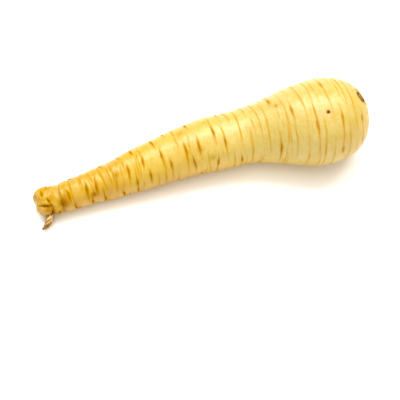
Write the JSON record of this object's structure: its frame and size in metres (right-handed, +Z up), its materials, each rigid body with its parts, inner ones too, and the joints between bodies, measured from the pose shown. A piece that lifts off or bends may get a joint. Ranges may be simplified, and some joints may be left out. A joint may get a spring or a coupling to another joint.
{
  "type": "parsnip",
  "caption": "Whole raw parsnip lying on its side: a tapering cream-yellow taproot with a swollen crown, a sunken brown leaf scar, cross creases, a folded tail knob and a dried rootlet.",
  "frame": {"origin": "on the resting plane, under the middle of the root's outline", "axes": "+X from the tail knob to the crown, +Y sideways towards the bowed-out side, +Z up"},
  "size_m": [0.23, 0.0583, 0.0577],
  "materials": {
    "parsnip_skin": "satin, waxy raw root skin"
  },
  "bodies": {
    "root": {"parsnip_root": "parsnip_skin"}
  },
  "joints": []
}
